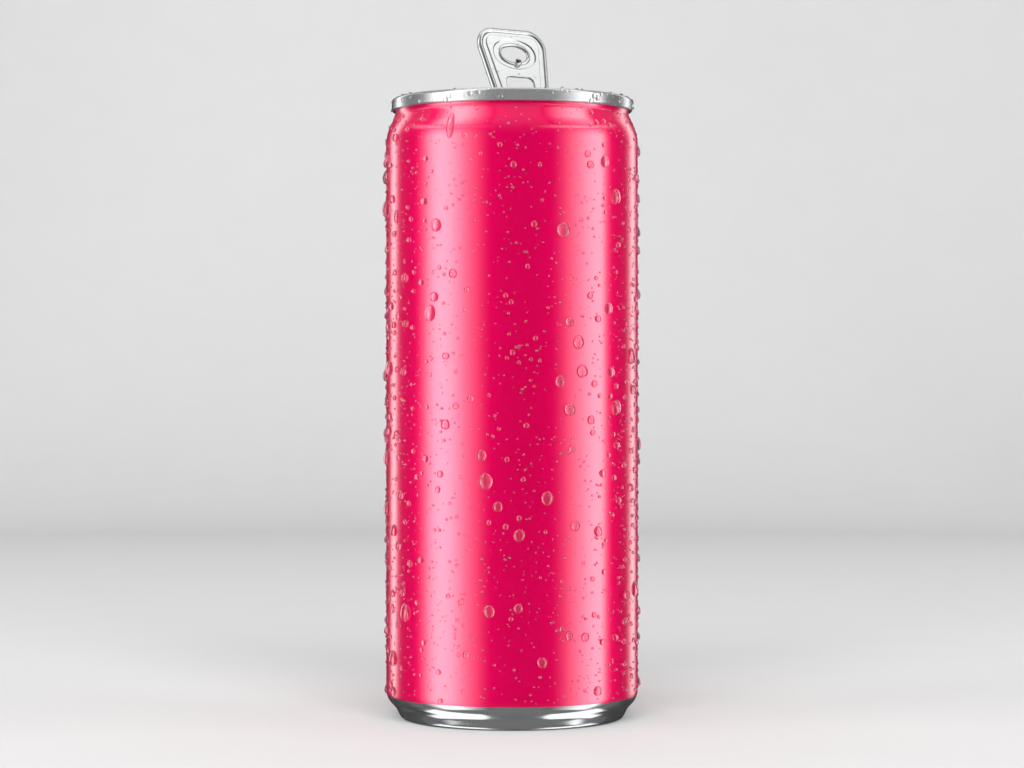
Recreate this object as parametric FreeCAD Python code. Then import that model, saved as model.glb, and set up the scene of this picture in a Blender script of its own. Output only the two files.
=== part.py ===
import FreeCAD, Part
import math
import os

Vector = FreeCAD.Vector

# A slim drinks can, opened, with its stay-on tab standing up. Millimetres, +Z up.
# The origin is on the can's axis, on the surface that it stands on. The mouth is towards -Y.

# Body: one drawn aluminium cup, with a domed base and a necked top.
BODY_RADIUS = 26.75
WALL = 0.25
DOME_TOP = 9.6  # height of the dome's underside above the surface, on the axis
DOME_RADIUS = 31.0
DOME_ROUND = 1.4  # rounding where the dome meets the inside of the stand ring
STAND_INNER = 20.9
STAND_INNER_ROUND = 1.0
STAND_OUTER = 23.5
STAND_OUTER_ROUND = 1.6
BASE_BEND = (24.68, 2.4)  # where the steep heel turns into the 45 degree cone
BASE_BEND_ROUND = 2.5
CONE_TOP = 4.47
CONE_TOP_ROUND = 4.0
SHOULDER_Z = 123.9
SHOULDER_ROUND = 8.0
NECK_RADIUS = 24.8
NECK_Z = 128.04
NECK_ROUND = 2.5

# End: the lid with its double seam, countersink and panel.
SEAM_BOTTOM = 128.85
SEAM_TOP = 131.5
SEAM_RADIUS = 25.6
SEAM_TOP_ROUND = 0.6
SEAM_BOTTOM_ROUND = 0.45
CHUCK_TOP_RADIUS = 24.25
PANEL_Z = 126.6
PANEL_RADIUS = 20.95
PANEL_ROUND = 0.6
STEP_RADIUS = 19.65  # inside this the panel is sunk
STEP_RUN = 0.35
STEP_HEIGHT = 0.35
STEP_ROUND = 0.4
COUNTERSINK_Z = 124.9
COUNTERSINK_INNER = 21.15
COUNTERSINK_OUTER = 22.6
COUNTERSINK_ROUND = 0.6
END_SHEET = 0.25

# Mouth and the tear flap that hangs inside from its left side.
MOUTH_HALF_WIDTH = 9.75
MOUTH_REAR = -4.2
MOUTH_FRONT = -18.9
MOUTH_REAR_ROUND = 2.6
MOUTH_FRONT_ROUND = 8.5
FLAP_TRIM = 0.3
FLAP_BEND_DEG = 98.0
FLAP_BEND_ROUND = 0.7
FLAP_STRAP_WIDTH = 3.4
FLAP_STRAP_Y = -8.6
FLAP_STRAP_DROP = 2.0

# Finger well behind the tab's heel.
WELL_Y = 14.0
WELL_RADIUS = 4.0
WELL_DEPTH = 0.8

# Rivet, and the tab's tongue under it, which ends in the bend line that the tab turns on.
RIVET_STEM = 1.6
RIVET_HEAD = 2.3
RIVET_HEAD_HEIGHT = 0.55
RIVET_HEAD_ROUND = 0.3
TONGUE_SHEET = 0.3
TONGUE_HALF_WIDTH = 2.8
TONGUE_HOLE = 1.65
BEND_Y = -5.2
BEND_Z = PANEL_Z + 1.02
BEND_RADIUS = 0.35
TONGUE_RAMP_Y = -2.75

# Tab, measured along itself from the bend line: the heel is positive, the nose negative.
TAB_LIFT_DEG = 70.5
TAB_HEEL = 20.2
TAB_NOSE = 5.6
TAB_HEEL_HALF_WIDTH = 9.35
TAB_NOSE_HALF_WIDTH = 5.6
TAB_HEEL_ROUND = 3.7
TAB_NOSE_ROUND = 4.0
CURL_RADIUS = 0.65
WEB_BOTTOM = 0.05
WEB_TOP = 0.36
PLATEAU_TOP = 0.58
PLATEAU_SIDE_INSET = 1.6  # from the curl's centre line
PLATEAU_END_INSET = 1.1
PLATEAU_ROUND = 0.16
FINGER_HOLE_AT = 14.2
FINGER_HOLE_HALF = (3.68, 2.28)  # centre line of the rolled lip, across and along the tab
LIP_RADIUS = 0.42
LIP_HEIGHT = 0.26
DISH_HALF = (5.2, 3.3)  # of its floor
DISH_FLOOR = 0.4
DISH_SLOPE_RUN = 0.3
SLOT_TOP = 9.1
SLOT_BOTTOM = -0.78
SLOT_HALF_WIDTH = 3.72
SLOT_TOP_ROUND = 1.5
SLOT_BOTTOM_ROUND = 0.8
ROLL_RADIUS = 0.3
ROLL_HEIGHT = 0.26

# Drink.
DRINK_LEVEL = 117.5
DRINK_GAP = 0.03


def rounded(points, radii):
    """Edges of an open path of straight runs, with each inner corner rounded by its radius."""
    edges = []
    start = points[0]
    for before, corner, after, radius in zip(points, points[1:], points[2:], radii):
        into = (corner - before).normalize()
        out = (after - corner).normalize()
        half_turn = into.getAngle(out) / 2
        reach = radius * math.tan(half_turn)
        arc_start = corner - into * reach
        arc_end = corner + out * reach
        inwards = (out - into).normalize()
        middle = corner + inwards * (radius / math.cos(half_turn) - radius)
        edges.append(Part.LineSegment(start, arc_start).toShape())
        edges.append(Part.Arc(arc_start, middle, arc_end).toShape())
        start = arc_end
    edges.append(Part.LineSegment(start, points[-1]).toShape())
    return edges


def rounded_loop(corners, radii):
    """A closed wire of straight runs with rounded corners."""
    middle = (corners[-1] + corners[0]) * 0.5
    return Part.Wire(rounded([middle, *corners, middle], radii))


def oval(half_across, half_along, centre_along, height):
    """A closed wire of four tangent arcs, wider across than along, level at the given height."""
    end_radius = 0.8 * half_along
    side_radius = (half_across**2 + half_along**2 - 2 * half_across * end_radius) / (
        2 * (half_along - end_radius)
    )
    end_centre = half_across - end_radius
    side_centre = side_radius - half_along
    slant = math.hypot(end_centre, side_centre)
    join_across = end_centre + end_radius * end_centre / slant
    join_along = end_radius * side_centre / slant

    def at(across, along):
        return Vector(across, centre_along + along, height)

    right_top, left_top = at(join_across, join_along), at(-join_across, join_along)
    right_low, left_low = at(join_across, -join_along), at(-join_across, -join_along)
    arcs = [
        Part.Arc(right_low, at(half_across, 0), right_top),
        Part.Arc(right_top, at(0, half_along), left_top),
        Part.Arc(left_top, at(-half_across, 0), left_low),
        Part.Arc(left_low, at(0, -half_along), right_low),
    ]
    return Part.Wire([arc.toShape() for arc in arcs])


def shifted(points, radii, distance):
    """A path in the XZ plane moved to its left by distance, with the radii that keep it parallel."""
    ways = [(after - before).normalize() for before, after in zip(points, points[1:])]
    lefts = [Vector(-way.z, 0, way.x) for way in ways]
    moved = [points[0] + lefts[0] * distance]
    new_radii = []
    for index, corner in enumerate(points[1:-1]):
        one, two = lefts[index], lefts[index + 1]
        moved.append(corner + (one + two) * (distance / (1 + one.dot(two))))
        turns_left = one.cross(two).y < 0
        new_radii.append(radii[index] + (-distance if turns_left else distance))
    moved.append(points[-1] + lefts[-1] * distance)
    return moved, new_radii


def turned(edges):
    """The solid of revolution about Z of a closed outline in the XZ plane."""
    face = Part.Face(Part.Wire(Part.__sortEdges__(edges)))
    return face.revolve(Vector(0, 0, 0), Vector(0, 0, 1), 360)


def arc_about(centre, radius, from_angle, to_angle):
    """An arc in the XZ plane, with angles from +X towards +Z."""

    def at(angle):
        return centre + Vector(math.cos(angle), 0, math.sin(angle)) * radius

    return Part.Arc(at(from_angle), at((from_angle + to_angle) / 2), at(to_angle)).toShape()


def slab(wire, bottom, top):
    """A flat plate of the wire's outline, which is given at height zero."""
    plate = Part.Face(wire).extrude(Vector(0, 0, top - bottom))
    plate.translate(Vector(0, 0, bottom))
    return plate


def tube(path, radius):
    """A round bar that follows a closed path."""
    start = path.Edges[0].valueAt(path.Edges[0].FirstParameter)
    way = path.Edges[0].tangentAt(path.Edges[0].FirstParameter)
    section = Part.Wire(Part.Circle(start, way, radius).toShape())
    return path.makePipeShell([section], True, True)


def vessel(inset, top):
    """The can's outside moved inwards by inset, filled, and closed level at the given height."""
    corners = [
        Vector(STAND_INNER, 0, STAND_INNER_ROUND * 2),
        Vector(STAND_INNER, 0, 0),
        Vector(STAND_OUTER, 0, 0),
        Vector(BASE_BEND[0], 0, BASE_BEND[1]),
        Vector(BODY_RADIUS, 0, CONE_TOP),
        Vector(BODY_RADIUS, 0, SHOULDER_Z),
        Vector(NECK_RADIUS, 0, NECK_Z),
        Vector(NECK_RADIUS, 0, top),
    ]
    radii = [
        STAND_INNER_ROUND,
        STAND_OUTER_ROUND,
        BASE_BEND_ROUND,
        CONE_TOP_ROUND,
        SHOULDER_ROUND,
        NECK_ROUND,
    ]
    corners, radii = shifted(corners, radii, inset)
    dome = DOME_RADIUS + inset
    knee = DOME_ROUND + inset
    dome_centre = Vector(0, 0, DOME_TOP - DOME_RADIUS)
    knee_x = STAND_INNER + inset - knee
    knee_rise = math.sqrt((dome - knee) ** 2 - knee_x**2)
    knee_centre = dome_centre + Vector(knee_x, 0, knee_rise)
    knee_angle = math.atan2(knee_rise, knee_x)
    corners[0].z = knee_centre.z
    edges = [
        arc_about(dome_centre, dome, math.pi / 2, knee_angle),
        arc_about(knee_centre, knee, knee_angle, 0),
        *rounded(corners, radii),
        Part.LineSegment(corners[-1], Vector(0, 0, top)).toShape(),
        Part.LineSegment(Vector(0, 0, top), dome_centre + Vector(0, 0, dome)).toShape(),
    ]
    return turned(edges)


def can_body():
    """The drawn cup: domed base, straight wall, shoulder and neck, open at the top."""
    return vessel(0, SEAM_BOTTOM).cut(vessel(WALL, SEAM_BOTTOM + 1))


def mouth_outline(trim):
    """The mouth's outline at height zero, made smaller all round by trim."""
    half = MOUTH_HALF_WIDTH - trim
    rear = MOUTH_REAR - trim
    front = MOUTH_FRONT + trim
    corners = [
        Vector(-half, rear, 0),
        Vector(-half, front, 0),
        Vector(half, front, 0),
        Vector(half, rear, 0),
    ]
    rear_round = MOUTH_REAR_ROUND - trim
    front_round = MOUTH_FRONT_ROUND - trim
    return rounded_loop(corners, [rear_round, front_round, front_round, rear_round])


def end_disc():
    """The end as turned: sunk panel, countersink, chuck wall and the rolled seam."""
    top_side = [
        Vector(0, 0, PANEL_Z),
        Vector(STEP_RADIUS, 0, PANEL_Z),
        Vector(STEP_RADIUS + STEP_RUN, 0, PANEL_Z + STEP_HEIGHT),
        Vector(PANEL_RADIUS, 0, PANEL_Z + STEP_HEIGHT),
        Vector(COUNTERSINK_INNER, 0, COUNTERSINK_Z),
        Vector(COUNTERSINK_OUTER, 0, COUNTERSINK_Z),
        Vector(CHUCK_TOP_RADIUS, 0, SEAM_TOP),
    ]
    top_radii = [STEP_ROUND, STEP_ROUND, PANEL_ROUND, COUNTERSINK_ROUND, COUNTERSINK_ROUND]
    under_side, under_radii = shifted(top_side, top_radii, -END_SHEET)
    chuck_way = under_side[-1] - under_side[-2]
    under_side[-1] = under_side[-2] + chuck_way * ((SEAM_BOTTOM - under_side[-2].z) / chuck_way.z)
    seam = [Vector(SEAM_RADIUS, 0, SEAM_TOP), Vector(SEAM_RADIUS, 0, SEAM_BOTTOM)]
    seam_radii = [SEAM_TOP_ROUND, SEAM_TOP_ROUND, SEAM_BOTTOM_ROUND, 0.1]
    outline = rounded(
        [*top_side, *seam, *under_side[::-1]],
        [*top_radii, *seam_radii, *under_radii[::-1]],
    )
    axis_edge = Part.LineSegment(under_side[0], top_side[0]).toShape()
    return turned([*outline, axis_edge])


def tear_flap():
    """The torn panel, bent down inside the can on the strap that still holds it."""
    sheet_top = PANEL_Z
    hinge_x = -MOUTH_HALF_WIDTH
    plate = slab(mouth_outline(FLAP_TRIM), 0, END_SHEET)
    plate.translate(Vector(-hinge_x, 0, -END_SHEET))
    bend = math.radians(FLAP_BEND_DEG)
    down = Vector(math.cos(bend), 0, -math.sin(bend))
    top_side = [
        Vector(hinge_x - 1, 0, sheet_top),
        Vector(hinge_x + FLAP_BEND_ROUND, 0, sheet_top),
        Vector(hinge_x + FLAP_BEND_ROUND, 0, sheet_top) + down * FLAP_STRAP_DROP,
    ]
    under_side, under_radii = shifted(top_side, [FLAP_BEND_ROUND], -END_SHEET)
    edges = rounded(top_side, [FLAP_BEND_ROUND]) + rounded(under_side, under_radii)
    edges.append(Part.LineSegment(top_side[0], under_side[0]).toShape())
    edges.append(Part.LineSegment(top_side[-1], under_side[-1]).toShape())
    strap_face = Part.Face(Part.Wire(Part.__sortEdges__(edges)))
    strap = strap_face.extrude(Vector(0, FLAP_STRAP_WIDTH, 0))
    strap.translate(Vector(0, FLAP_STRAP_Y - FLAP_STRAP_WIDTH / 2, 0))
    plate.rotate(Vector(0, 0, 0), Vector(0, 1, 0), FLAP_BEND_DEG)
    plate.translate(top_side[1] + down * (FLAP_BEND_ROUND * math.tan(bend / 2)))
    return plate.fuse(strap)


def finger_well(disc):
    """The disc with a shallow round dimple behind the tab."""
    ball = (WELL_RADIUS**2 + WELL_DEPTH**2) / (2 * WELL_DEPTH)
    centre = Vector(0, WELL_Y, PANEL_Z + ball - WELL_DEPTH)
    under = Part.makeSphere(ball + END_SHEET, centre)
    reach = WELL_RADIUS * 2
    depth = 2 * WELL_DEPTH + END_SHEET
    below = Part.makeBox(
        2 * reach, 2 * reach, depth, Vector(-reach, WELL_Y - reach, PANEL_Z - END_SHEET / 2 - depth)
    )
    return disc.fuse(under.common(below)).cut(Part.makeSphere(ball, centre))


def rivet():
    """The rivet drawn up out of the panel, headed over the tab's tongue."""
    head_bottom = PANEL_Z + TONGUE_SHEET
    stem_bottom = PANEL_Z - END_SHEET / 2
    stem = Part.makeCylinder(RIVET_STEM, head_bottom - stem_bottom + 0.1, Vector(0, 0, stem_bottom))
    head = Part.makeCylinder(RIVET_HEAD, RIVET_HEAD_HEIGHT, Vector(0, 0, head_bottom))
    rim = [edge for edge in head.Edges if edge.BoundBox.ZMin > head_bottom + RIVET_HEAD_HEIGHT / 2]
    return stem.fuse(head.makeFillet(RIVET_HEAD_ROUND, rim[:1]))


def can_end():
    """The whole end: disc with its mouth cut out, finger well, rivet and tear flap."""
    disc = finger_well(end_disc())
    disc = disc.cut(slab(mouth_outline(0), PANEL_Z - 1, PANEL_Z + 1))
    return disc.fuse([tear_flap(), rivet()]).removeSplitter()


def tab_tongue():
    """The tab's tongue: it lies under the rivet's head and rises to the bend line."""
    floor = PANEL_Z
    path = [
        Vector(0, TONGUE_HALF_WIDTH + 1, floor),
        Vector(0, TONGUE_RAMP_Y, floor),
        Vector(0, BEND_Y, BEND_Z - TONGUE_SHEET / 2),
    ]
    lifted = [point + Vector(0, 0, TONGUE_SHEET) for point in path]
    outline = Part.makePolygon([*path, *lifted[::-1], path[0]])
    width = 2 * TONGUE_HALF_WIDTH
    ribbon = Part.Face(outline).extrude(Vector(width, 0, 0))
    ribbon.translate(Vector(-TONGUE_HALF_WIDTH, 0, 0))
    plan_round = TONGUE_HALF_WIDTH - 0.01
    plan = rounded_loop(
        [
            Vector(TONGUE_HALF_WIDTH, TONGUE_HALF_WIDTH, 0),
            Vector(-TONGUE_HALF_WIDTH, TONGUE_HALF_WIDTH, 0),
            Vector(-TONGUE_HALF_WIDTH, BEND_Y - 1, 0),
            Vector(TONGUE_HALF_WIDTH, BEND_Y - 1, 0),
        ],
        [plan_round, plan_round, 0.2, 0.2],
    )
    ribbon = ribbon.common(slab(plan, floor - 1, floor + 3))
    knuckle = Part.makeCylinder(
        BEND_RADIUS, width, Vector(-TONGUE_HALF_WIDTH, BEND_Y, BEND_Z), Vector(1, 0, 0)
    )
    hole = Part.makeCylinder(TONGUE_HOLE, 3, Vector(0, 0, floor - 1))
    return ribbon.cut(hole).fuse(knuckle)


def tab_outline(side_inset, end_inset):
    """The tab's outline at height zero, inset from the centre line of its curled edge."""
    heel = TAB_HEEL - CURL_RADIUS - end_inset
    nose = TAB_NOSE - CURL_RADIUS - end_inset
    heel_half = TAB_HEEL_HALF_WIDTH - CURL_RADIUS - side_inset
    nose_half = TAB_NOSE_HALF_WIDTH - CURL_RADIUS - side_inset
    corners = [
        Vector(heel_half, heel, 0),
        Vector(-heel_half, heel, 0),
        Vector(-nose_half, -nose, 0),
        Vector(nose_half, -nose, 0),
    ]
    heel_round = TAB_HEEL_ROUND - side_inset
    nose_round = TAB_NOSE_ROUND - side_inset
    return rounded_loop(corners, [heel_round, heel_round, nose_round, nose_round])


def slot_outline(grow, height):
    """The opening left by the tongue, at the centre line of its rolled edge when grow is zero."""
    half = SLOT_HALF_WIDTH + grow
    corners = [
        Vector(half, SLOT_TOP + grow, height),
        Vector(-half, SLOT_TOP + grow, height),
        Vector(-half, SLOT_BOTTOM - grow, height),
        Vector(half, SLOT_BOTTOM - grow, height),
    ]
    radii = [SLOT_TOP_ROUND, SLOT_TOP_ROUND, SLOT_BOTTOM_ROUND, SLOT_BOTTOM_ROUND]
    return rounded_loop(corners, [radius + grow for radius in radii])


def top_edges(solid, height):
    """The edges of a solid that lie at the given height."""
    return [
        edge
        for edge in solid.Edges
        if abs(edge.BoundBox.ZMin - height) < 1e-4 and abs(edge.BoundBox.ZMax - height) < 1e-4
    ]


def tab_face():
    """The tab's pressed sheet, flat: a raised field with a dish sunk round the finger hole."""
    web = slab(tab_outline(0, 0), WEB_BOTTOM, WEB_TOP)
    field = tab_outline(PLATEAU_SIDE_INSET, PLATEAU_END_INSET)
    plateau = slab(field, (WEB_BOTTOM + WEB_TOP) / 2, PLATEAU_TOP)
    plateau = plateau.makeFillet(PLATEAU_ROUND, top_edges(plateau, PLATEAU_TOP))
    rim_half = [half + DISH_SLOPE_RUN for half in DISH_HALF]
    floor = oval(*DISH_HALF, FINGER_HOLE_AT, DISH_FLOOR)
    rim = oval(*rim_half, FINGER_HOLE_AT, PLATEAU_TOP)
    plateau = plateau.cut(Part.makeLoft([floor, rim], True, True))
    holes = [
        slab(oval(*FINGER_HOLE_HALF, FINGER_HOLE_AT, 0), -1, 2),
        slab(slot_outline(0, 0), -1, 2),
    ]
    return web.fuse(plateau).cut(holes)


def pull_tab():
    """The tab lifted about its bend line: curled edge, pressed face, rolled lip and slot edge."""
    curl = tube(tab_outline(0, 0), CURL_RADIUS)
    lip = tube(oval(*FINGER_HOLE_HALF, FINGER_HOLE_AT, LIP_HEIGHT), LIP_RADIUS)
    roll = tube(slot_outline(0, ROLL_HEIGHT), ROLL_RADIUS)
    tab = tab_face().fuse([curl, lip, roll])
    tab.rotate(Vector(0, 0, 0), Vector(1, 0, 0), TAB_LIFT_DEG)
    tab.translate(Vector(0, BEND_Y, BEND_Z))
    return tab


def drink(end):
    """What fills the can up to its level, cut round the flap that hangs into it."""
    room = vessel(WALL + DRINK_GAP, SEAM_BOTTOM)
    below_level = Part.makeCylinder(BODY_RADIUS, DRINK_LEVEL)
    return room.common(below_level).cut(end)


def main():
    """Writes each piece to its own file."""
    os.makedirs("parts", exist_ok=True)
    end = can_end()
    pieces = {
        "can_body": can_body(),
        "can_end": end,
        "tab_tongue": tab_tongue(),
        "pull_tab": pull_tab(),
        "drink": drink(end),
    }
    for name, shape in pieces.items():
        solid = shape.Solids[0]
        solid.exportStep("parts/" + name + ".step")
        print(name, "solids", len(shape.Solids), "valid", solid.isValid(), "mm3", round(solid.Volume, 1))


main()
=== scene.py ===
import math

import bpy
import numpy as np
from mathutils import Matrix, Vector


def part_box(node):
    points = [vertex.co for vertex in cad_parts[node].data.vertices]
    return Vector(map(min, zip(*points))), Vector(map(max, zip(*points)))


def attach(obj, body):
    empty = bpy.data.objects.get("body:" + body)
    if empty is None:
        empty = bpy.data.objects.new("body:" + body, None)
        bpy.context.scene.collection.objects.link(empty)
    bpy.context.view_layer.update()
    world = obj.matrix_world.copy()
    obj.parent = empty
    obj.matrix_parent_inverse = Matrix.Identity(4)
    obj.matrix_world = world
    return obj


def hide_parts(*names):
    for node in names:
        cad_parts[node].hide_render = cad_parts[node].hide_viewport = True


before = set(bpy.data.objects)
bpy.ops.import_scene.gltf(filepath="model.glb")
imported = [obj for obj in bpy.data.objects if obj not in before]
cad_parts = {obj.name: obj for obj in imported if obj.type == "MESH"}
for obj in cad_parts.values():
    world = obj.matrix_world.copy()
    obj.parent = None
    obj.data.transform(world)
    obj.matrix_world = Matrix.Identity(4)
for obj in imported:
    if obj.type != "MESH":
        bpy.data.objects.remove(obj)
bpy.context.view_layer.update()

MM = 0.001

# The frame's own sizes, in metres.
BODY_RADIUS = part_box("can_body")[1][0]
SEAM_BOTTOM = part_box("can_body")[1][2]
SEAM_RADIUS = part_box("can_end")[1][0]
SEAM_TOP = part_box("can_end")[1][2]
CAN_MIDDLE = Vector((0, 0, SEAM_TOP / 2))

# The can's section, as in the frame: corners of straight runs as (radius, height) and their rounding.
WALL = 0.25 * MM
DOME_TOP = 9.6 * MM
DOME_RADIUS = 31.0 * MM
DOME_ROUND = 1.4 * MM
STAND_INNER = 20.9 * MM
PRINT_EDGE = 5.2 * MM  # the lacquer ends here; below it the metal is bare
BODY_CORNERS = [
    (STAND_INNER, 0),
    (23.5 * MM, 0),
    (24.68 * MM, 2.4 * MM),
    (BODY_RADIUS, 4.47 * MM),
    (BODY_RADIUS, 123.9 * MM),
    (24.8 * MM, 128.04 * MM),
    (24.8 * MM, SEAM_BOTTOM),
]
BODY_ROUNDS = [1.0 * MM, 1.6 * MM, 2.5 * MM, 4.0 * MM, 8.0 * MM, 2.5 * MM]
LATHE_SEGMENTS = 288

# The photograph's camera: level, a little left of the tab's own front.
CAMERA_BEARING = math.radians(-34.5)
CAMERA_DISTANCE = 0.580
CAMERA_HEIGHT = 0.071
CAMERA_LENS = 95.7

# What the lacquer mirrors: radiance against bearing from the camera, in degrees, left is negative.
LEFT_BEARINGS = [-98, -90, -83, -76, -68, -61, -53, -45, -37, -29, -20]
LEFT_RADIANCES = [0.0, 0.27, 1.15, 2.3, 3.0, 2.9, 2.3, 1.45, 0.75, 0.28, 0.0]
RIGHT_BEARINGS = [36, 43, 49, 55, 61, 68, 75, 82, 88, 94, 101]
RIGHT_RADIANCES = [0.0, 0.15, 0.42, 0.85, 1.3, 1.85, 2.4, 2.75, 2.5, 0.75, 0.0]

LEFT_RIM = ([-150, -143, -135, -127, -119], [0.0, 0.9, 2.2, 0.7, 0.0])
RIGHT_RIM = ([125, 133, 141, 149, 157], [0.0, 0.7, 1.8, 1.1, 0.0])
LEFT_STREAK = ([-125, -100, -65, -35, -10], [0.0, 0.9, 2.0, 0.6, 0.0])
RIGHT_STREAK = ([10, 35, 65, 100, 125], [0.0, 0.6, 2.0, 1.0, 0.0])

# How the panels' radiance changes from their lower edge (0) to their upper edge (1).
LEFT_RISE = [
    (0.0, 0.6), (0.25, 0.8), (0.35, 1.0), (0.46, 1.0), (0.52, 0.6), (0.62, 0.75), (0.75, 1.0), (1.0, 0.8),
]
RIGHT_RISE = [
    (0.0, 0.6), (0.25, 0.8), (0.35, 1.0), (0.46, 1.0), (0.53, 0.5), (0.67, 0.5), (0.77, 1.0), (1.0, 0.7),
]
RIM_RISE = [(0.0, 0.0), (0.28, 0.0), (0.35, 1.0), (0.50, 1.0), (0.65, 0.5), (1.0, 0.3)]
STREAK_RISE = [(0.0, 0.0), (0.35, 1.0), (0.6, 1.0), (1.0, 0.0)]
PANEL_STEPS = 24

# The surround's brightness from straight down (0) to straight up (1).
SURROUND = [(0.0, 0.10), (0.25, 0.06), (0.42, 0.004), (0.58, 0.004), (0.75, 0.1), (1.0, 0.2)]

STUDIO_RADIUS = 1.25
STUDIO_ROUND = 0.5
STUDIO_TOP = 1.7
STUDIO_SEGMENTS = 96

# Condensation: how many drops there are of each kind, and the clear space kept round each.
SEED = 11
LARGE_DROPS, LARGE_GAP = 66, 2.4 * MM
SHORT_RUNS, SHORT_RUN_GAP = 3, 2.6 * MM
MEDIUM_DROPS, MEDIUM_GAP = 620, 0.75 * MM
FINE_DROPS, FINE_GAP = 4400, 0.2 * MM
SEAM_DROPS, SEAM_GAP = 80, 0.5 * MM
SEAM_SPECKS, SEAM_SPECK_GAP = 160, 0.2 * MM
TAB_DROPS = 46

# The long run of water near the shoulder, at the left of the camera's view.
RUN_BEARING = math.radians(-28.5)
RUN_HEIGHT = 124 * MM

# The tab's bend line and how far it stands up, and the place of the drop on its finger hole's edge:
# across the tab, up it from the bend, and out from its face.
TAB_BEND = Vector((0, -5.2 * MM, 127.62 * MM))
TAB_LIFT = math.radians(70.5)
HOLE_EDGE = (0.4 * MM, 12.1 * MM, 0.45 * MM)


# ---------------------------------------------------------------- geometry helpers


def rounded_profile(corners, rounds, run_step=4 * MM, arc_step=math.radians(7)):
    """Points along straight runs with rounded corners, close together where the surface turns."""
    corners = [np.array(corner, float) for corner in corners]
    knots = [corners[0]]
    arcs = []
    for before, corner, after, radius in zip(corners, corners[1:], corners[2:], rounds):
        into = (corner - before) / np.linalg.norm(corner - before)
        out = (after - corner) / np.linalg.norm(after - corner)
        turn = math.atan2(into[0] * out[1] - into[1] * out[0], into @ out)
        start = corner - into * radius * math.tan(abs(turn) / 2)
        side = np.array([-into[1], into[0]]) * math.copysign(radius, turn)
        centre = start + side
        steps = max(3, math.ceil(abs(turn) / arc_step))
        arc = [centre + rotated(start - centre, turn * step / steps) for step in range(steps + 1)]
        knots.append(arc[0])
        arcs.append(arc)
        knots.append(arc[-1])
    knots.append(corners[-1])
    points = []
    for index in range(0, len(knots), 2):
        points += run_points(knots[index], knots[index + 1], run_step)
        if index // 2 < len(arcs):
            points += arcs[index // 2][1:-1]
    return np.array(points)


def rotated(vector, angle):
    """A plane vector turned by an angle."""
    cosine, sine = math.cos(angle), math.sin(angle)
    return np.array([cosine * vector[0] - sine * vector[1], sine * vector[0] + cosine * vector[1]])


def run_points(start, end, step):
    """Points of a straight run, with a support point near each end so that shading stays flat."""
    length = np.linalg.norm(end - start)
    support = min(0.25 * MM, length / 4)
    count = max(1, math.ceil((length - 2 * support) / step))
    inner = [support + (length - 2 * support) * index / count for index in range(count + 1)]
    return [start + (end - start) * along / length for along in [0, *inner, length]]


def shifted(corners, rounds, distance):
    """A path moved to its left by distance, with the roundings that keep it parallel."""
    corners = [np.array(corner, float) for corner in corners]
    ways = [(after - before) / np.linalg.norm(after - before) for before, after in zip(corners, corners[1:])]
    lefts = [np.array([-way[1], way[0]]) for way in ways]
    moved = [corners[0] + lefts[0] * distance]
    new_rounds = []
    for corner, one, two, radius in zip(corners[1:-1], lefts, lefts[1:], rounds):
        moved.append(corner + (one + two) * distance / (1 + one @ two))
        turns_left = one[0] * two[1] - one[1] * two[0] > 0
        new_rounds.append(radius - distance if turns_left else radius + distance)
    moved.append(corners[-1] + lefts[-1] * distance)
    return moved, new_rounds


def arc_points(centre, radius, start, end, count):
    """Points of an arc, ends included."""
    angles = np.linspace(start, end, count)
    return centre + radius * np.stack([np.cos(angles), np.sin(angles)], axis=1)


def body_profile(inset):
    """The can body's section from the dome's middle to the neck, moved inwards by inset."""
    dome, knee = DOME_RADIUS + inset, DOME_ROUND + inset
    dome_centre = np.array([0, DOME_TOP - DOME_RADIUS])
    knee_x = STAND_INNER + inset - knee
    knee_rise = math.sqrt((dome - knee) ** 2 - knee_x**2)
    knee_centre = dome_centre + (knee_x, knee_rise)
    knee_angle = math.atan2(knee_rise, knee_x)
    corners = [(STAND_INNER, knee_centre[1]), *BODY_CORNERS]
    corners, rounds = shifted(corners, BODY_ROUNDS, inset)
    return np.concatenate(
        [
            arc_points(dome_centre, dome, math.pi / 2, knee_angle, 24)[:-1],
            arc_points(knee_centre, knee, knee_angle, 0, 9)[:-1],
            rounded_profile(corners, rounds),
        ]
    )


def split_at_height(profile, height):
    """The profile with one more point where its outer wall first crosses a height."""
    for index in range(len(profile) - 1):
        low, high = profile[index], profile[index + 1]
        if low[0] > STAND_INNER * 1.1 and low[1] < height < high[1]:
            share = (height - low[1]) / (high[1] - low[1])
            crossing = low + (high - low) * share
            return np.insert(profile, index + 1, crossing, axis=0)
    return profile


def new_object(name, vertices, faces, body):
    """A smooth-shaded mesh object that rides on a body."""
    mesh = bpy.data.meshes.new(name)
    mesh.from_pydata([tuple(vertex) for vertex in vertices], [], faces)
    mesh.shade_smooth()
    mesh.update()
    piece = bpy.data.objects.new(name, mesh)
    bpy.context.scene.collection.objects.link(piece)
    if body:
        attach(piece, body)
    return piece


def lathe(name, profile, body, segments=LATHE_SEGMENTS):
    """A surface of revolution about Z. Points on the axis become single vertices."""
    angles = np.linspace(0, 2 * math.pi, segments, endpoint=False)
    vertices, rings = [], []
    for radius, height in profile:
        first = len(vertices)
        if radius < 1e-7:
            vertices.append((0, 0, height))
            rings.append([first] * segments)
        else:
            vertices += [(radius * math.cos(a), radius * math.sin(a), height) for a in angles]
            rings.append(list(range(first, first + segments)))
    faces = []
    for low, high in zip(rings, rings[1:]):
        for one in range(segments):
            two = (one + 1) % segments
            corners = [low[one], low[two], high[two], high[one]]
            faces.append(tuple(dict.fromkeys(corners)))
    return new_object(name, vertices, faces, body)


# ---------------------------------------------------------------- material helpers


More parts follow.
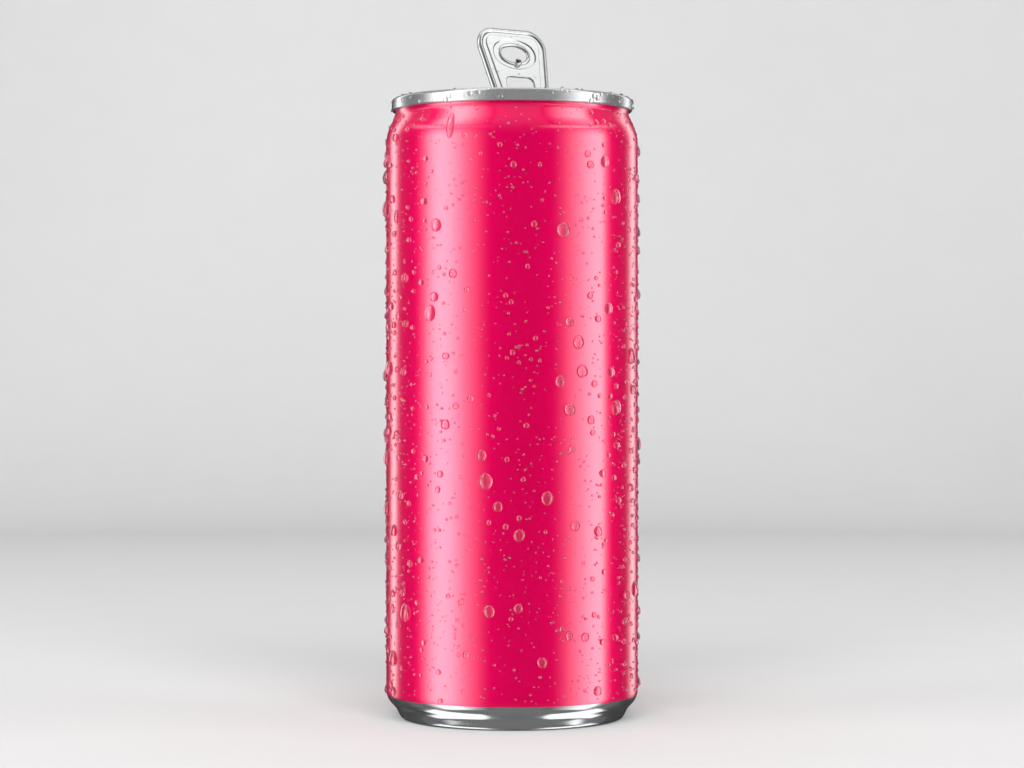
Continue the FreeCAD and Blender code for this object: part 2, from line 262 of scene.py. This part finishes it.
def new_material(name, **values):
    """A material with one Principled shader whose named sockets are set."""
    material = bpy.data.materials.new(name)
    material.use_nodes = True
    shader = material.node_tree.nodes["Principled BSDF"]
    for socket, value in values.items():
        shader.inputs[socket.replace("_", " ").title().replace("Ior", "IOR")].default_value = value
    return material


def node(material, kind, **settings):
    """A new node with some of its own properties set."""
    made = material.node_tree.nodes.new(kind)
    for key, value in settings.items():
        setattr(made, key, value)
    return made


def link(material, source, target):
    """Joins two sockets."""
    material.node_tree.links.new(source, target)


def object_place(material, scale=(1, 1, 1)):
    """Object coordinates, stretched by scale."""
    coordinates = node(material, "ShaderNodeTexCoord")
    mapping = node(material, "ShaderNodeMapping")
    mapping.inputs["Scale"].default_value = scale
    link(material, coordinates.outputs["Object"], mapping.inputs["Vector"])
    return mapping.outputs["Vector"]


def noise(material, place, scale, detail):
    """Soft noise, of so many features to the metre."""
    texture = node(material, "ShaderNodeTexNoise")
    texture.inputs["Scale"].default_value = scale
    texture.inputs["Detail"].default_value = detail
    texture.inputs["Roughness"].default_value = 0.5
    link(material, place, texture.inputs["Vector"])
    return texture.outputs["Fac"]


def remap(material, value, low, high, from_low=0.3, from_high=0.7):
    """A value's range spread over low to high. The middle range is where noise mostly lies."""
    spread = node(material, "ShaderNodeMapRange")
    spread.inputs["From Min"].default_value = from_low
    spread.inputs["From Max"].default_value = from_high
    spread.inputs["To Min"].default_value = low
    spread.inputs["To Max"].default_value = high
    link(material, value, spread.inputs["Value"])
    return spread.outputs["Result"]


def colour_between(material, value, first, second):
    """A colour that goes from first to second as value goes from 0 to 1."""
    mixer = node(material, "ShaderNodeMix", data_type="RGBA")
    colours = [socket for socket in mixer.inputs if socket.type == "RGBA"]
    colours[0].default_value = (*first, 1)
    colours[1].default_value = (*second, 1)
    link(material, value, mixer.inputs["Factor"])
    return [socket for socket in mixer.outputs if socket.type == "RGBA"][0]


def bump(material, height, strength, distance):
    """A bump of the given height, into the Principled shader's normal."""
    bumped = node(material, "ShaderNodeBump")
    bumped.inputs["Strength"].default_value = strength
    bumped.inputs["Distance"].default_value = distance
    link(material, height, bumped.inputs["Height"])
    shader = material.node_tree.nodes["Principled BSDF"]
    link(material, bumped.outputs["Normal"], shader.inputs["Normal"])


def feed(material, value, socket):
    """Joins a value to a socket of the Principled shader."""
    shader = material.node_tree.nodes["Principled BSDF"]
    link(material, value, shader.inputs[socket])


# ---------------------------------------------------------------- materials


def lacquer_material():
    """Hot pink translucent lacquer over aluminium, misted with moisture too fine to model."""
    material = new_material(
        "pink_lacquer",
        metallic=0.74,
        roughness=0.46,
        coat_weight=1.0,
        coat_roughness=0.12,
        coat_ior=2.2,
        specular_ior_level=0.0,
    )
    place = object_place(material)
    cloud = noise(material, place, 60, 2)
    tint = remap(material, cloud, 0, 1)
    pink = colour_between(material, tint, (0.95, 0.0008, 0.112), (0.99, 0.0012, 0.126))
    feed(material, pink, "Base Color")
    mist = noise(material, place, 2200, 2)
    feed(material, remap(material, mist, 0.42, 0.50), "Roughness")
    bump(material, mist, 0.12, 0.05 * MM)
    return material


def bare_metal_material():
    """The polished bare aluminium of the base, with faint rings from ironing."""
    material = new_material("bare_aluminium", metallic=0.93, roughness=0.14)
    rings = noise(material, object_place(material, (1, 1, 22)), 130, 3)
    feed(material, remap(material, rings, 0.10, 0.18), "Roughness")
    feed(material, colour_between(material, rings, (0.62, 0.63, 0.64), (0.72, 0.73, 0.74)), "Base Color")
    bump(material, rings, 0.03, 0.05 * MM)
    return material


def inside_material():
    """Clear epoxy over aluminium on the can's inside."""
    material = new_material("inside_lacquer", metallic=0.85, roughness=0.3)
    streaks = noise(material, object_place(material, (1, 1, 0.1)), 900, 2)
    feed(material, colour_between(material, streaks, (0.56, 0.56, 0.55), (0.66, 0.66, 0.64)), "Base Color")
    return material


def end_material():
    """Satin rolled sheet: fine straight grain across the panel and round the seam."""
    material = new_material("end_aluminium", metallic=0.85, roughness=0.2)
    grain = noise(material, object_place(material, (0.06, 1.4, 1.4)), 2600, 3)
    feed(material, remap(material, grain, 0.16, 0.24), "Roughness")
    feed(material, colour_between(material, grain, (0.54, 0.55, 0.56), (0.62, 0.63, 0.64)), "Base Color")
    bump(material, grain, 0.08, 0.03 * MM)
    return material


def tab_material():
    """Brighter pressed sheet, with grain along the tab and slight tool waviness."""
    material = new_material("tab_aluminium", metallic=0.94, roughness=0.18)
    grain = noise(material, object_place(material, (1.4, 0.3, 0.3)), 1900, 3)
    wave = noise(material, object_place(material), 260, 1)
    feed(material, remap(material, grain, 0.15, 0.27), "Roughness")
    feed(material, colour_between(material, grain, (0.54, 0.545, 0.55), (0.62, 0.625, 0.63)), "Base Color")
    bump(material, wave, 0.10, 0.1 * MM)
    return material


def drink_material():
    """Berry-coloured drink, glossy, a little darker in places."""
    material = new_material("drink_liquid", roughness=0.04, ior=1.33, coat_weight=0.3, coat_roughness=0.03)
    cloud = noise(material, object_place(material), 90, 2)
    feed(material, colour_between(material, cloud, (0.24, 0.008, 0.03), (0.36, 0.015, 0.05)), "Base Color")
    bump(material, cloud, 0.1, 0.3 * MM)
    return material


def water_material(name, shade, clearness, tint):
    """Water that lets light through to what lies under it, times shade.

    Clearness is the share that isn't scattered, and tint colours what passes or is scattered.
    """
    material = new_material(
        name, roughness=0.0, ior=1.33, transmission_weight=clearness, coat_weight=1.0, coat_ior=1.7
    )
    shader = material.node_tree.nodes["Principled BSDF"]
    shader.inputs["Base Color"].default_value = (*tint, 1)
    output = material.node_tree.nodes["Material Output"]
    clear = node(material, "ShaderNodeBsdfTransparent")
    clear.inputs["Color"].default_value = (shade, shade, shade, 1)
    path = node(material, "ShaderNodeLightPath")
    mixer = node(material, "ShaderNodeMixShader")
    link(material, path.outputs["Is Shadow Ray"], mixer.inputs["Fac"])
    link(material, shader.outputs["BSDF"], mixer.inputs[1])
    link(material, clear.outputs["BSDF"], mixer.inputs[2])
    link(material, mixer.outputs["Shader"], output.inputs["Surface"])
    return material


def studio_material():
    """Plain pale paper."""
    material = new_material("studio_paper", roughness=0.9, specular_ior_level=0.1)
    fibre = noise(material, object_place(material), 40, 4)
    feed(material, colour_between(material, fibre, (0.52, 0.52, 0.52), (0.54, 0.54, 0.54)), "Base Color")
    return material


# ---------------------------------------------------------------- can


def build_body():
    """The can body as one closed shell, pink outside above the print edge and bare below it."""
    outside = split_at_height(body_profile(0), PRINT_EDGE)
    inside = body_profile(WALL)[::-1]
    body = lathe("can_shell", np.concatenate([outside, inside]), "can")
    for material in (lacquer_material(), bare_metal_material(), inside_material()):
        body.data.materials.append(material)
    bare_metal, inside_lacquer = 1, 2
    outside_rows = len(outside) - 1
    for polygon in body.data.polygons:
        row = polygon.index // LATHE_SEGMENTS
        if row >= outside_rows:
            polygon.material_index = inside_lacquer
        elif polygon.center.z < PRINT_EDGE or polygon.center.xy.length < STAND_INNER:
            polygon.material_index = bare_metal
    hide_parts("can_body")


def dress_frame_nodes():
    """Gives the CAD pieces that stay their materials."""
    tab = tab_material()
    looks = {
        "can_end": end_material(),
        "pull_tab": tab,
        "tab_tongue": tab,
        "drink": drink_material(),
    }
    for name, material in looks.items():
        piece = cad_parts[name]
        piece.data.materials.clear()
        piece.data.materials.append(material)


# ---------------------------------------------------------------- condensation


class Skin:
    """A surface of revolution on which drops sit, addressed by angle and length along its section."""

    def __init__(self, profile):
        self.profile = profile
        steps = np.linalg.norm(np.diff(profile, axis=0), axis=1)
        self.along = np.concatenate([[0], np.cumsum(steps)])
        ways = np.diff(profile, axis=0) / steps[:, None]
        normals = np.stack([ways[:, 1], -ways[:, 0]], axis=1)
        at_points = np.concatenate([normals[:1], normals[:-1] + normals[1:], normals[-1:]])
        self.normals = at_points / np.linalg.norm(at_points, axis=1)[:, None]

    def length(self):
        """The whole length of the section."""
        return self.along[-1]

    def at_height(self, height):
        """The length along the section at a height, on a section that only rises."""
        return float(np.interp(height, self.profile[:, 1], self.along))

    def points(self, angle, along, lift):
        """Places in space of arrays of angle, length along the section and lift off the surface."""
        radius = np.interp(along, self.along, self.profile[:, 0])
        height = np.interp(along, self.along, self.profile[:, 1])
        out = np.interp(along, self.along, self.normals[:, 0])
        up = np.interp(along, self.along, self.normals[:, 1])
        reach = radius + out * lift
        return np.stack([reach * np.cos(angle), reach * np.sin(angle), height + up * lift], axis=-1)


def drop_shape(rng, half_width, stretch, height, rings, segments, unevenness):
    """A drop's own grid: sideways, upwards and lift, as rings from its middle to its edge."""
    turn = np.linspace(0, 2 * math.pi, segments, endpoint=False)
    outline = np.ones(segments)
    for waves in (2, 3, 4):
        outline += unevenness / waves * rng.normal() * np.cos(waves * turn + rng.uniform(0, 2 * math.pi))
    slope = np.linspace(0, math.pi / 2, rings + 1)[1:]
    spread, rise = np.sin(slope), np.cos(slope)
    side = half_width * np.outer(spread, outline * np.cos(turn))
    up = half_width * stretch * np.outer(spread, outline * np.sin(turn))
    sag = 1 - 0.22 * up / (half_width * stretch)
    lift = height * rise[:, None] ** 0.9 * sag
    return side, up, lift


def grid_faces(first, rings, segments):
    """Faces of a drop, its top point first: a fan, bands down to its edge, and one flat face below."""
    ring = [[first + 1 + row * segments + step for step in range(segments)] for row in range(rings)]
    faces = [(first, ring[0][step], ring[0][(step + 1) % segments]) for step in range(segments)]
    for inner, outer in zip(ring, ring[1:]):
        for step in range(segments):
            following = (step + 1) % segments
            faces.append((inner[step], outer[step], outer[following], inner[following]))
    faces.append(tuple(ring[-1][::-1]))
    return faces


def scattered(rng, count, skin, low, high, gap, crowding, taken):
    """Seeded places (angle, along), clear of those in taken, which they join.

    Crowding is how much denser they lie at the sides of the camera's view than in its middle.
    """
    taken_array = np.array(taken).reshape(-1, 3)
    rows = np.concatenate([taken_array, np.zeros((count, 3))])
    used = first = len(taken_array)
    while used < first + count:
        angle = rng.uniform(0, 2 * math.pi)
        along = rng.uniform(low, high)
        sideways = math.cos(angle - CAMERA_BEARING) ** 2
        if rng.uniform() > (1 + crowding * sideways) / (1 + crowding):
            continue
        radius = np.interp(along, skin.along, skin.profile[:, 0])
        across = (angle - rows[:used, 0] + math.pi) % (2 * math.pi) - math.pi
        if np.any(np.hypot(across * radius, along - rows[:used, 1]) < gap + rows[:used, 2]):
            continue
        rows[used] = (angle, along, gap)
        used += 1
    taken[:] = rows.tolist()
    return rows[first:, :2].tolist()


def drops_piece(name, skin, drops, rng, rings, segments, unevenness):
    """One joined mesh of drops, each given as (angle, along, half width, stretch, height)."""
    edge_sink = 0.03 * MM
    margin = 0.01 * MM
    vertices, faces, first = [], [], 0
    for angle, along, half_width, stretch, height in drops:
        side, up, lift = drop_shape(rng, half_width, stretch, height, rings, segments, unevenness)
        radius = np.interp(along, skin.along, skin.profile[:, 0])
        up = np.clip(along + up, margin, skin.length() - margin) - along
        lift = np.concatenate([lift[:-1], np.full((1, lift.shape[1]), -edge_sink)])
        grid = skin.points(angle + side / radius, along + up, lift)
        top = skin.points(np.array([angle]), np.array([along]), np.array([height]))
        vertices += [top, grid.reshape(-1, 3)]
        faces += grid_faces(first, rings, segments)
        first += 1 + rings * segments
    return new_object(name, np.concatenate(vertices), faces, "can")


def build_body_drops():
    """Condensation over the pink body: large drops with a few runs, medium ones, and fine ones."""
    rng = np.random.default_rng(SEED)
    full = body_profile(0)
    outside = full[(full[:, 0] > STAND_INNER) & (full[:, 1] > 0.5 * PRINT_EDGE)]
    skin = Skin(outside)
    low = skin.at_height(PRINT_EDGE + 0.6 * MM)
    high = skin.at_height(SEAM_BOTTOM - 0.8 * MM)
    run_angle = CAMERA_BEARING - math.pi / 2 + RUN_BEARING
    run_along = skin.at_height(RUN_HEIGHT)
    taken = [(run_angle, run_along + step * MM, 1.2 * MM) for step in (-2, -1, 0, 1, 2)]
    # The body's drops are tinted pink, which clear water is not: painted pink reflection of the lacquer seen
    # through them. The fine drops also scatter a share of pink: painted pink sheen.
    water = water_material("body_water_painted_pink", shade=0.78, clearness=0.985, tint=(1.0, 0.68, 0.86))
    fine_water_painted_pink = water_material("fine_water_painted_pink", shade=0.3, clearness=0.94, tint=(1.0, 0.4, 0.66))

    def places(count, lowest, highest, gap, crowding):
        return scattered(rng, count, skin, lowest, highest, gap, crowding, taken)

    large = []
    for angle, along in places(LARGE_DROPS, low + 2 * MM, high - 3 * MM, LARGE_GAP, crowding=0.2):
        half = rng.uniform(1.0, 1.6) * MM
        large.append((angle, along, half, rng.uniform(1.05, 1.3), half * rng.uniform(0.55, 0.68)))
    large.append((run_angle, run_along, 0.85 * MM, 3.3, 0.55 * MM))
    for angle, along in places(SHORT_RUNS, low + 20 * MM, high - 14 * MM, SHORT_RUN_GAP, crowding=4.0):
        half = rng.uniform(0.75, 0.95) * MM
        large.append((angle, along, half, rng.uniform(1.8, 2.6), half * 0.62))
    medium = []
    for angle, along in places(MEDIUM_DROPS, low, high, MEDIUM_GAP, crowding=1.8):
        half = min(0.36 + rng.exponential(0.2), 0.95) * MM
        medium.append((angle, along, half, rng.uniform(1.0, 1.2), half * rng.uniform(0.65, 0.85)))
    fine = []
    for angle, along in places(FINE_DROPS, low, high, FINE_GAP, crowding=0.5):
        half = min(0.14 + rng.exponential(0.07), 0.38) * MM
        fine.append((angle, along, half, rng.uniform(0.95, 1.1), half * rng.uniform(0.75, 0.95)))

    pieces = [
        drops_piece("drops_large", skin, large, rng, rings=12, segments=28, unevenness=0.05),
        drops_piece("drops_medium", skin, medium, rng, rings=7, segments=16, unevenness=0.06),
        drops_piece("drops_fine", skin, fine, rng, rings=3, segments=7, unevenness=0.04),
    ]
    for piece, look in zip(pieces, (water, water, fine_water_painted_pink)):
        piece.data.materials.append(look)


def build_seam_drops(water):
    """Clear drops on the seam's face and over its top edge."""
    rng = np.random.default_rng(SEED + 1)
    section = rounded_profile(
        [
            (SEAM_RADIUS - 0.2 * MM, SEAM_BOTTOM),
            (SEAM_RADIUS, SEAM_BOTTOM + 0.2 * MM),
            (SEAM_RADIUS, SEAM_TOP),
            (SEAM_RADIUS - 1.2 * MM, SEAM_TOP),
        ],
        [0.1 * MM, 0.6 * MM],
    )
    skin = Skin(section)
    low, high = 0.4 * MM, skin.length() - 0.5 * MM
    speck_low, speck_high = 0.3 * MM, skin.length() - 0.3 * MM
    drops = []
    for angle, along in scattered(rng, SEAM_DROPS, skin, low, high, SEAM_GAP, 0.5, []):
        half = rng.uniform(0.2, 0.62) * MM
        drops.append((angle, along, half, rng.uniform(0.95, 1.15), half * rng.uniform(0.6, 0.8)))
    for angle, along in scattered(rng, SEAM_SPECKS, skin, speck_low, speck_high, SEAM_SPECK_GAP, 0.3, []):
        half = rng.uniform(0.07, 0.15) * MM
        drops.append((angle, along, half, 1.0, half * 0.6))
    piece = drops_piece("drops_seam", skin, drops, rng, rings=6, segments=14, unevenness=0.06)
    piece.data.materials.append(water)


def dome(centre, normal, half_width, height, rings, segments):
    """The points of a rounded cap on a flat spot, with its edge just under the metal."""
    edge_sink = 0.04 * MM
    turn = normal.to_track_quat("Z", "Y").to_matrix()
    around = np.linspace(0, 2 * math.pi, segments, endpoint=False)
    points = [centre + normal * height]
    for ring in range(1, rings + 1):
        slope = math.pi / 2 * ring / rings
        rise = height * math.cos(slope) if ring < rings else -edge_sink
        spread = half_width * math.sin(slope)
        for angle in around:
            offset = Vector((spread * math.cos(angle), spread * math.sin(angle), rise))
            points.append(centre + turn @ offset)
    return points


def hole_edge_spot():
    """The middle of the finger hole's lower edge, on the tab as it stands."""
    across, along, above = HOLE_EDGE
    up = Vector((0, math.cos(TAB_LIFT), math.sin(TAB_LIFT)))
    out = Vector((0, -math.sin(TAB_LIFT), math.cos(TAB_LIFT)))
    return TAB_BEND + Vector((across, 0, 0)) + up * along + out * above


def build_tab_drops(water):
    """Small drops on the tab's curl and face, and one caught on the finger hole's lower edge."""
    rng = np.random.default_rng(SEED + 2)
    spots = []
    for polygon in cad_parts["pull_tab"].data.polygons:
        sideways_or_up = polygon.normal.x < -0.6 or polygon.normal.z > 0.75
        if sideways_or_up or polygon.area > 0.4 * MM * MM:
            spots.append((polygon.center.copy(), polygon.normal.copy(), polygon.area))
    areas = np.array([area for _, _, area in spots])
    picks = rng.choice(len(spots), TAB_DROPS, replace=False, p=areas / areas.sum())
    drops = []
    for pick in picks:
        centre, normal, _ = spots[pick]
        half = rng.uniform(0.1, 0.24) * MM
        drops.append((centre, normal, half, half * 0.7))
    drops.append((hole_edge_spot(), Vector((0, -0.55, 0.84)).normalized(), 0.9 * MM, 1.0 * MM))
    vertices, faces, first = [], [], 0
    for centre, normal, half, height in drops:
        rings, segments = (8, 20) if half > 0.5 * MM else (4, 10)
        vertices += dome(centre, normal, half, height, rings, segments)
        faces += grid_faces(first, rings, segments)
        first += 1 + rings * segments
    piece = new_object("drops_tab", vertices, faces, "tab")
    piece.data.materials.append(water)


# ---------------------------------------------------------------- studio and camera


def bearing_way(bearing, elevation=0.0):
    """The unit vector out from the can at a bearing from the camera, positive to the camera's right."""
    angle = CAMERA_BEARING + bearing
    flat = math.cos(elevation)
    return Vector((math.sin(angle) * flat, -math.cos(angle) * flat, math.sin(elevation)))


def soft_light(
    name, bearing, elevation, distance, width, height, radiance, mirrored=True, lights=True, aim=CAN_MIDDLE
):
    """An area light of a given radiance, aimed at the can. Angles are in degrees.

    Mirrored says whether reflections and refractions show it, and lights whether matt surfaces take its light.
    """
    light = bpy.data.lights.new(name, "AREA")
    light.shape = "RECTANGLE"
    light.size = width
    light.size_y = height
    light.energy = radiance * math.pi * width * height
    lamp = bpy.data.objects.new(name, light)
    lamp.location = aim + bearing_way(math.radians(bearing), math.radians(elevation)) * distance
    lamp.rotation_euler = (aim - lamp.location).to_track_quat("-Z", "Y").to_euler()
    lamp.visible_camera = False
    lamp.visible_transmission = mirrored
    lamp.visible_glossy = mirrored
    lamp.visible_diffuse = lights
    bpy.context.scene.collection.objects.link(lamp)


def stepless(material, place, stops):
    """A smooth curve through (position, value) stops."""
    ramp = node(material, "ShaderNodeValToRGB")
    ramp.color_ramp.interpolation = "CARDINAL"
    elements = ramp.color_ramp.elements
    elements.remove(elements[1])
    elements[0].position = stops[0][0]
    elements[0].color = (stops[0][1],) * 3 + (1,)
    for position, value in stops[1:]:
        elements.new(position).color = (value, value, value, 1)
    link(material, place, ramp.inputs["Fac"])
    return ramp.outputs["Color"]


def product(material, first, second):
    """A socket's value times a number or another socket's value."""
    times = node(material, "ShaderNodeMath", operation="MULTIPLY")
    link(material, first, times.inputs[0])
    if isinstance(second, float):
        times.inputs[1].default_value = second
    else:
        link(material, second, times.inputs[1])
    return times.outputs["Value"]


def panel_material(name, across, upwards, radiance, both_sides):
    """Light from a panel's front, or from both its sides, shaded across its bearings and up its height."""
    material = bpy.data.materials.new(name)
    material.use_nodes = True
    material.node_tree.nodes.remove(material.node_tree.nodes["Principled BSDF"])
    place = node(material, "ShaderNodeTexCoord")
    parts = node(material, "ShaderNodeSeparateXYZ")
    link(material, place.outputs["UV"], parts.inputs["Vector"])
    shade = product(
        material,
        stepless(material, parts.outputs["X"], across),
        stepless(material, parts.outputs["Y"], upwards),
    )
    glow = node(material, "ShaderNodeEmission")
    link(material, product(material, shade, radiance), glow.inputs["Strength"])
    output = material.node_tree.nodes["Material Output"]
    if both_sides:
        link(material, glow.outputs["Emission"], output.inputs["Surface"])
        return material
    dark = node(material, "ShaderNodeBsdfDiffuse")
    dark.inputs["Color"].default_value = (0.02, 0.02, 0.02, 1)
    sides = node(material, "ShaderNodeNewGeometry")
    mixer = node(material, "ShaderNodeMixShader")
    link(material, sides.outputs["Backfacing"], mixer.inputs["Fac"])
    link(material, glow.outputs["Emission"], mixer.inputs[1])
    link(material, dark.outputs["BSDF"], mixer.inputs[2])
    link(material, mixer.outputs["Shader"], output.inputs["Surface"])
    return material


def light_panel(name, bearings, radiances, upwards, reach=0.8, bottom=-0.9, top=1.5, both_sides=True):
    """A curved upright panel round the can, with its radiances at the listed bearings, in degrees."""
    start, end = bearings[0], bearings[-1]
    peak = max(radiances)
    across = [((b - start) / (end - start), r / peak) for b, r in zip(bearings, radiances)]
    vertices, faces = [], []
    for step in range(PANEL_STEPS + 1):
        way = bearing_way(math.radians(start + (end - start) * step / PANEL_STEPS)) * reach
        vertices += [(way.x, way.y, bottom), (way.x, way.y, top)]
    for step in range(PANEL_STEPS):
        faces.append((2 * step, 2 * step + 1, 2 * step + 3, 2 * step + 2))
    panel = new_object(name, vertices, faces, None)
    layer = panel.data.uv_layers.new(name="panel")
    for loop in panel.data.loops:
        column, row = divmod(loop.vertex_index, 2)
        layer.data[loop.index].uv = (column / PANEL_STEPS, row)
    panel.data.materials.append(panel_material(name, across, upwards, peak, both_sides))
    panel.visible_camera = False
    panel.visible_shadow = False


def build_lights():
    """Shaded panels at the sides and behind, which the can mirrors, and a few soft lights.

    The side panels light both ways, so that the floor has no edge where they stand.
    """
    streak = {"reach": 0.77, "bottom": 0.38, "top": 0.54}
    light_panel("left_panel", LEFT_BEARINGS, LEFT_RADIANCES, LEFT_RISE)
    light_panel("right_panel", RIGHT_BEARINGS, RIGHT_RADIANCES, RIGHT_RISE)
    light_panel("left_rim_panel", *LEFT_RIM, RIM_RISE, both_sides=False)
    light_panel("right_rim_panel", *RIGHT_RIM, RIM_RISE, both_sides=False)
    light_panel("left_streak", *LEFT_STREAK, STREAK_RISE, **streak)
    light_panel("right_streak", *RIGHT_STREAK, STREAK_RISE, **streak)
    soft_light("overhead", 180, 80, distance=0.95, width=0.90, height=0.90, radiance=0.9)
    soft_light("front_fill", 0, 28, distance=1.7, width=1.87, height=1.36, radiance=8.8, mirrored=False)
    low_light = {"distance": 0.45, "width": 0.20, "height": 0.26, "radiance": 1.6, "lights": False}
    base = Vector((0, 0, 0.003))
    soft_light("low_left", -115, -62, aim=base, **low_light)
    soft_light("low_right", 120, -58, aim=base, **low_light)


def build_studio():
    """A pale round studio: floor, cove and wall in one sheet. It lights but is not mirrored in the can."""
    flat_radius = STUDIO_RADIUS - STUDIO_ROUND
    floor = run_points(np.array([0.0, 0.0]), np.array([flat_radius, 0.0]), 0.1)
    cove = arc_points(np.array([flat_radius, STUDIO_ROUND]), STUDIO_ROUND, -math.pi / 2, 0, 16)
    profile = [*floor[:-1], *cove, (STUDIO_RADIUS, STUDIO_TOP)]
    studio = lathe("studio", profile, None, STUDIO_SEGMENTS)
    studio.data.flip_normals()
    studio.data.materials.append(studio_material())
    studio.visible_glossy = False
    studio.visible_transmission = False
    studio.visible_shadow = False


def build_world():
    """A dim surround that the metal mirrors between the lights: almost black level with the can."""
    world = bpy.data.worlds.new("surround")
    world.use_nodes = True
    place = node(world, "ShaderNodeTexCoord")
    parts = node(world, "ShaderNodeSeparateXYZ")
    link(world, place.outputs["Generated"], parts.inputs["Vector"])
    height = remap(world, parts.outputs["Z"], 0, 1, -1, 1)
    shade = stepless(world, height, SURROUND)
    link(world, shade, world.node_tree.nodes["Background"].inputs["Color"])
    bpy.context.scene.world = world


def build_camera():
    """The camera, level, at the photograph's distance and height."""
    camera = bpy.data.cameras.new("camera")
    camera.lens = CAMERA_LENS
    camera.sensor_width = 36
    holder = bpy.data.objects.new("camera", camera)
    holder.location = bearing_way(0) * CAMERA_DISTANCE + Vector((0, 0, CAMERA_HEIGHT))
    ahead = Vector((0, 0, CAMERA_HEIGHT)) - holder.location
    holder.rotation_euler = ahead.to_track_quat("-Z", "Y").to_euler()
    bpy.context.scene.collection.objects.link(holder)
    bpy.context.scene.camera = holder


bpy.context.scene.view_settings.view_transform = "Standard"
build_camera()
build_world()
build_lights()
build_studio()
build_body()
dress_frame_nodes()
build_body_drops()
clear_water = water_material("clear_water", shade=0.78, clearness=1.0, tint=(1.0, 1.0, 1.0))
build_seam_drops(clear_water)
build_tab_drops(clear_water)
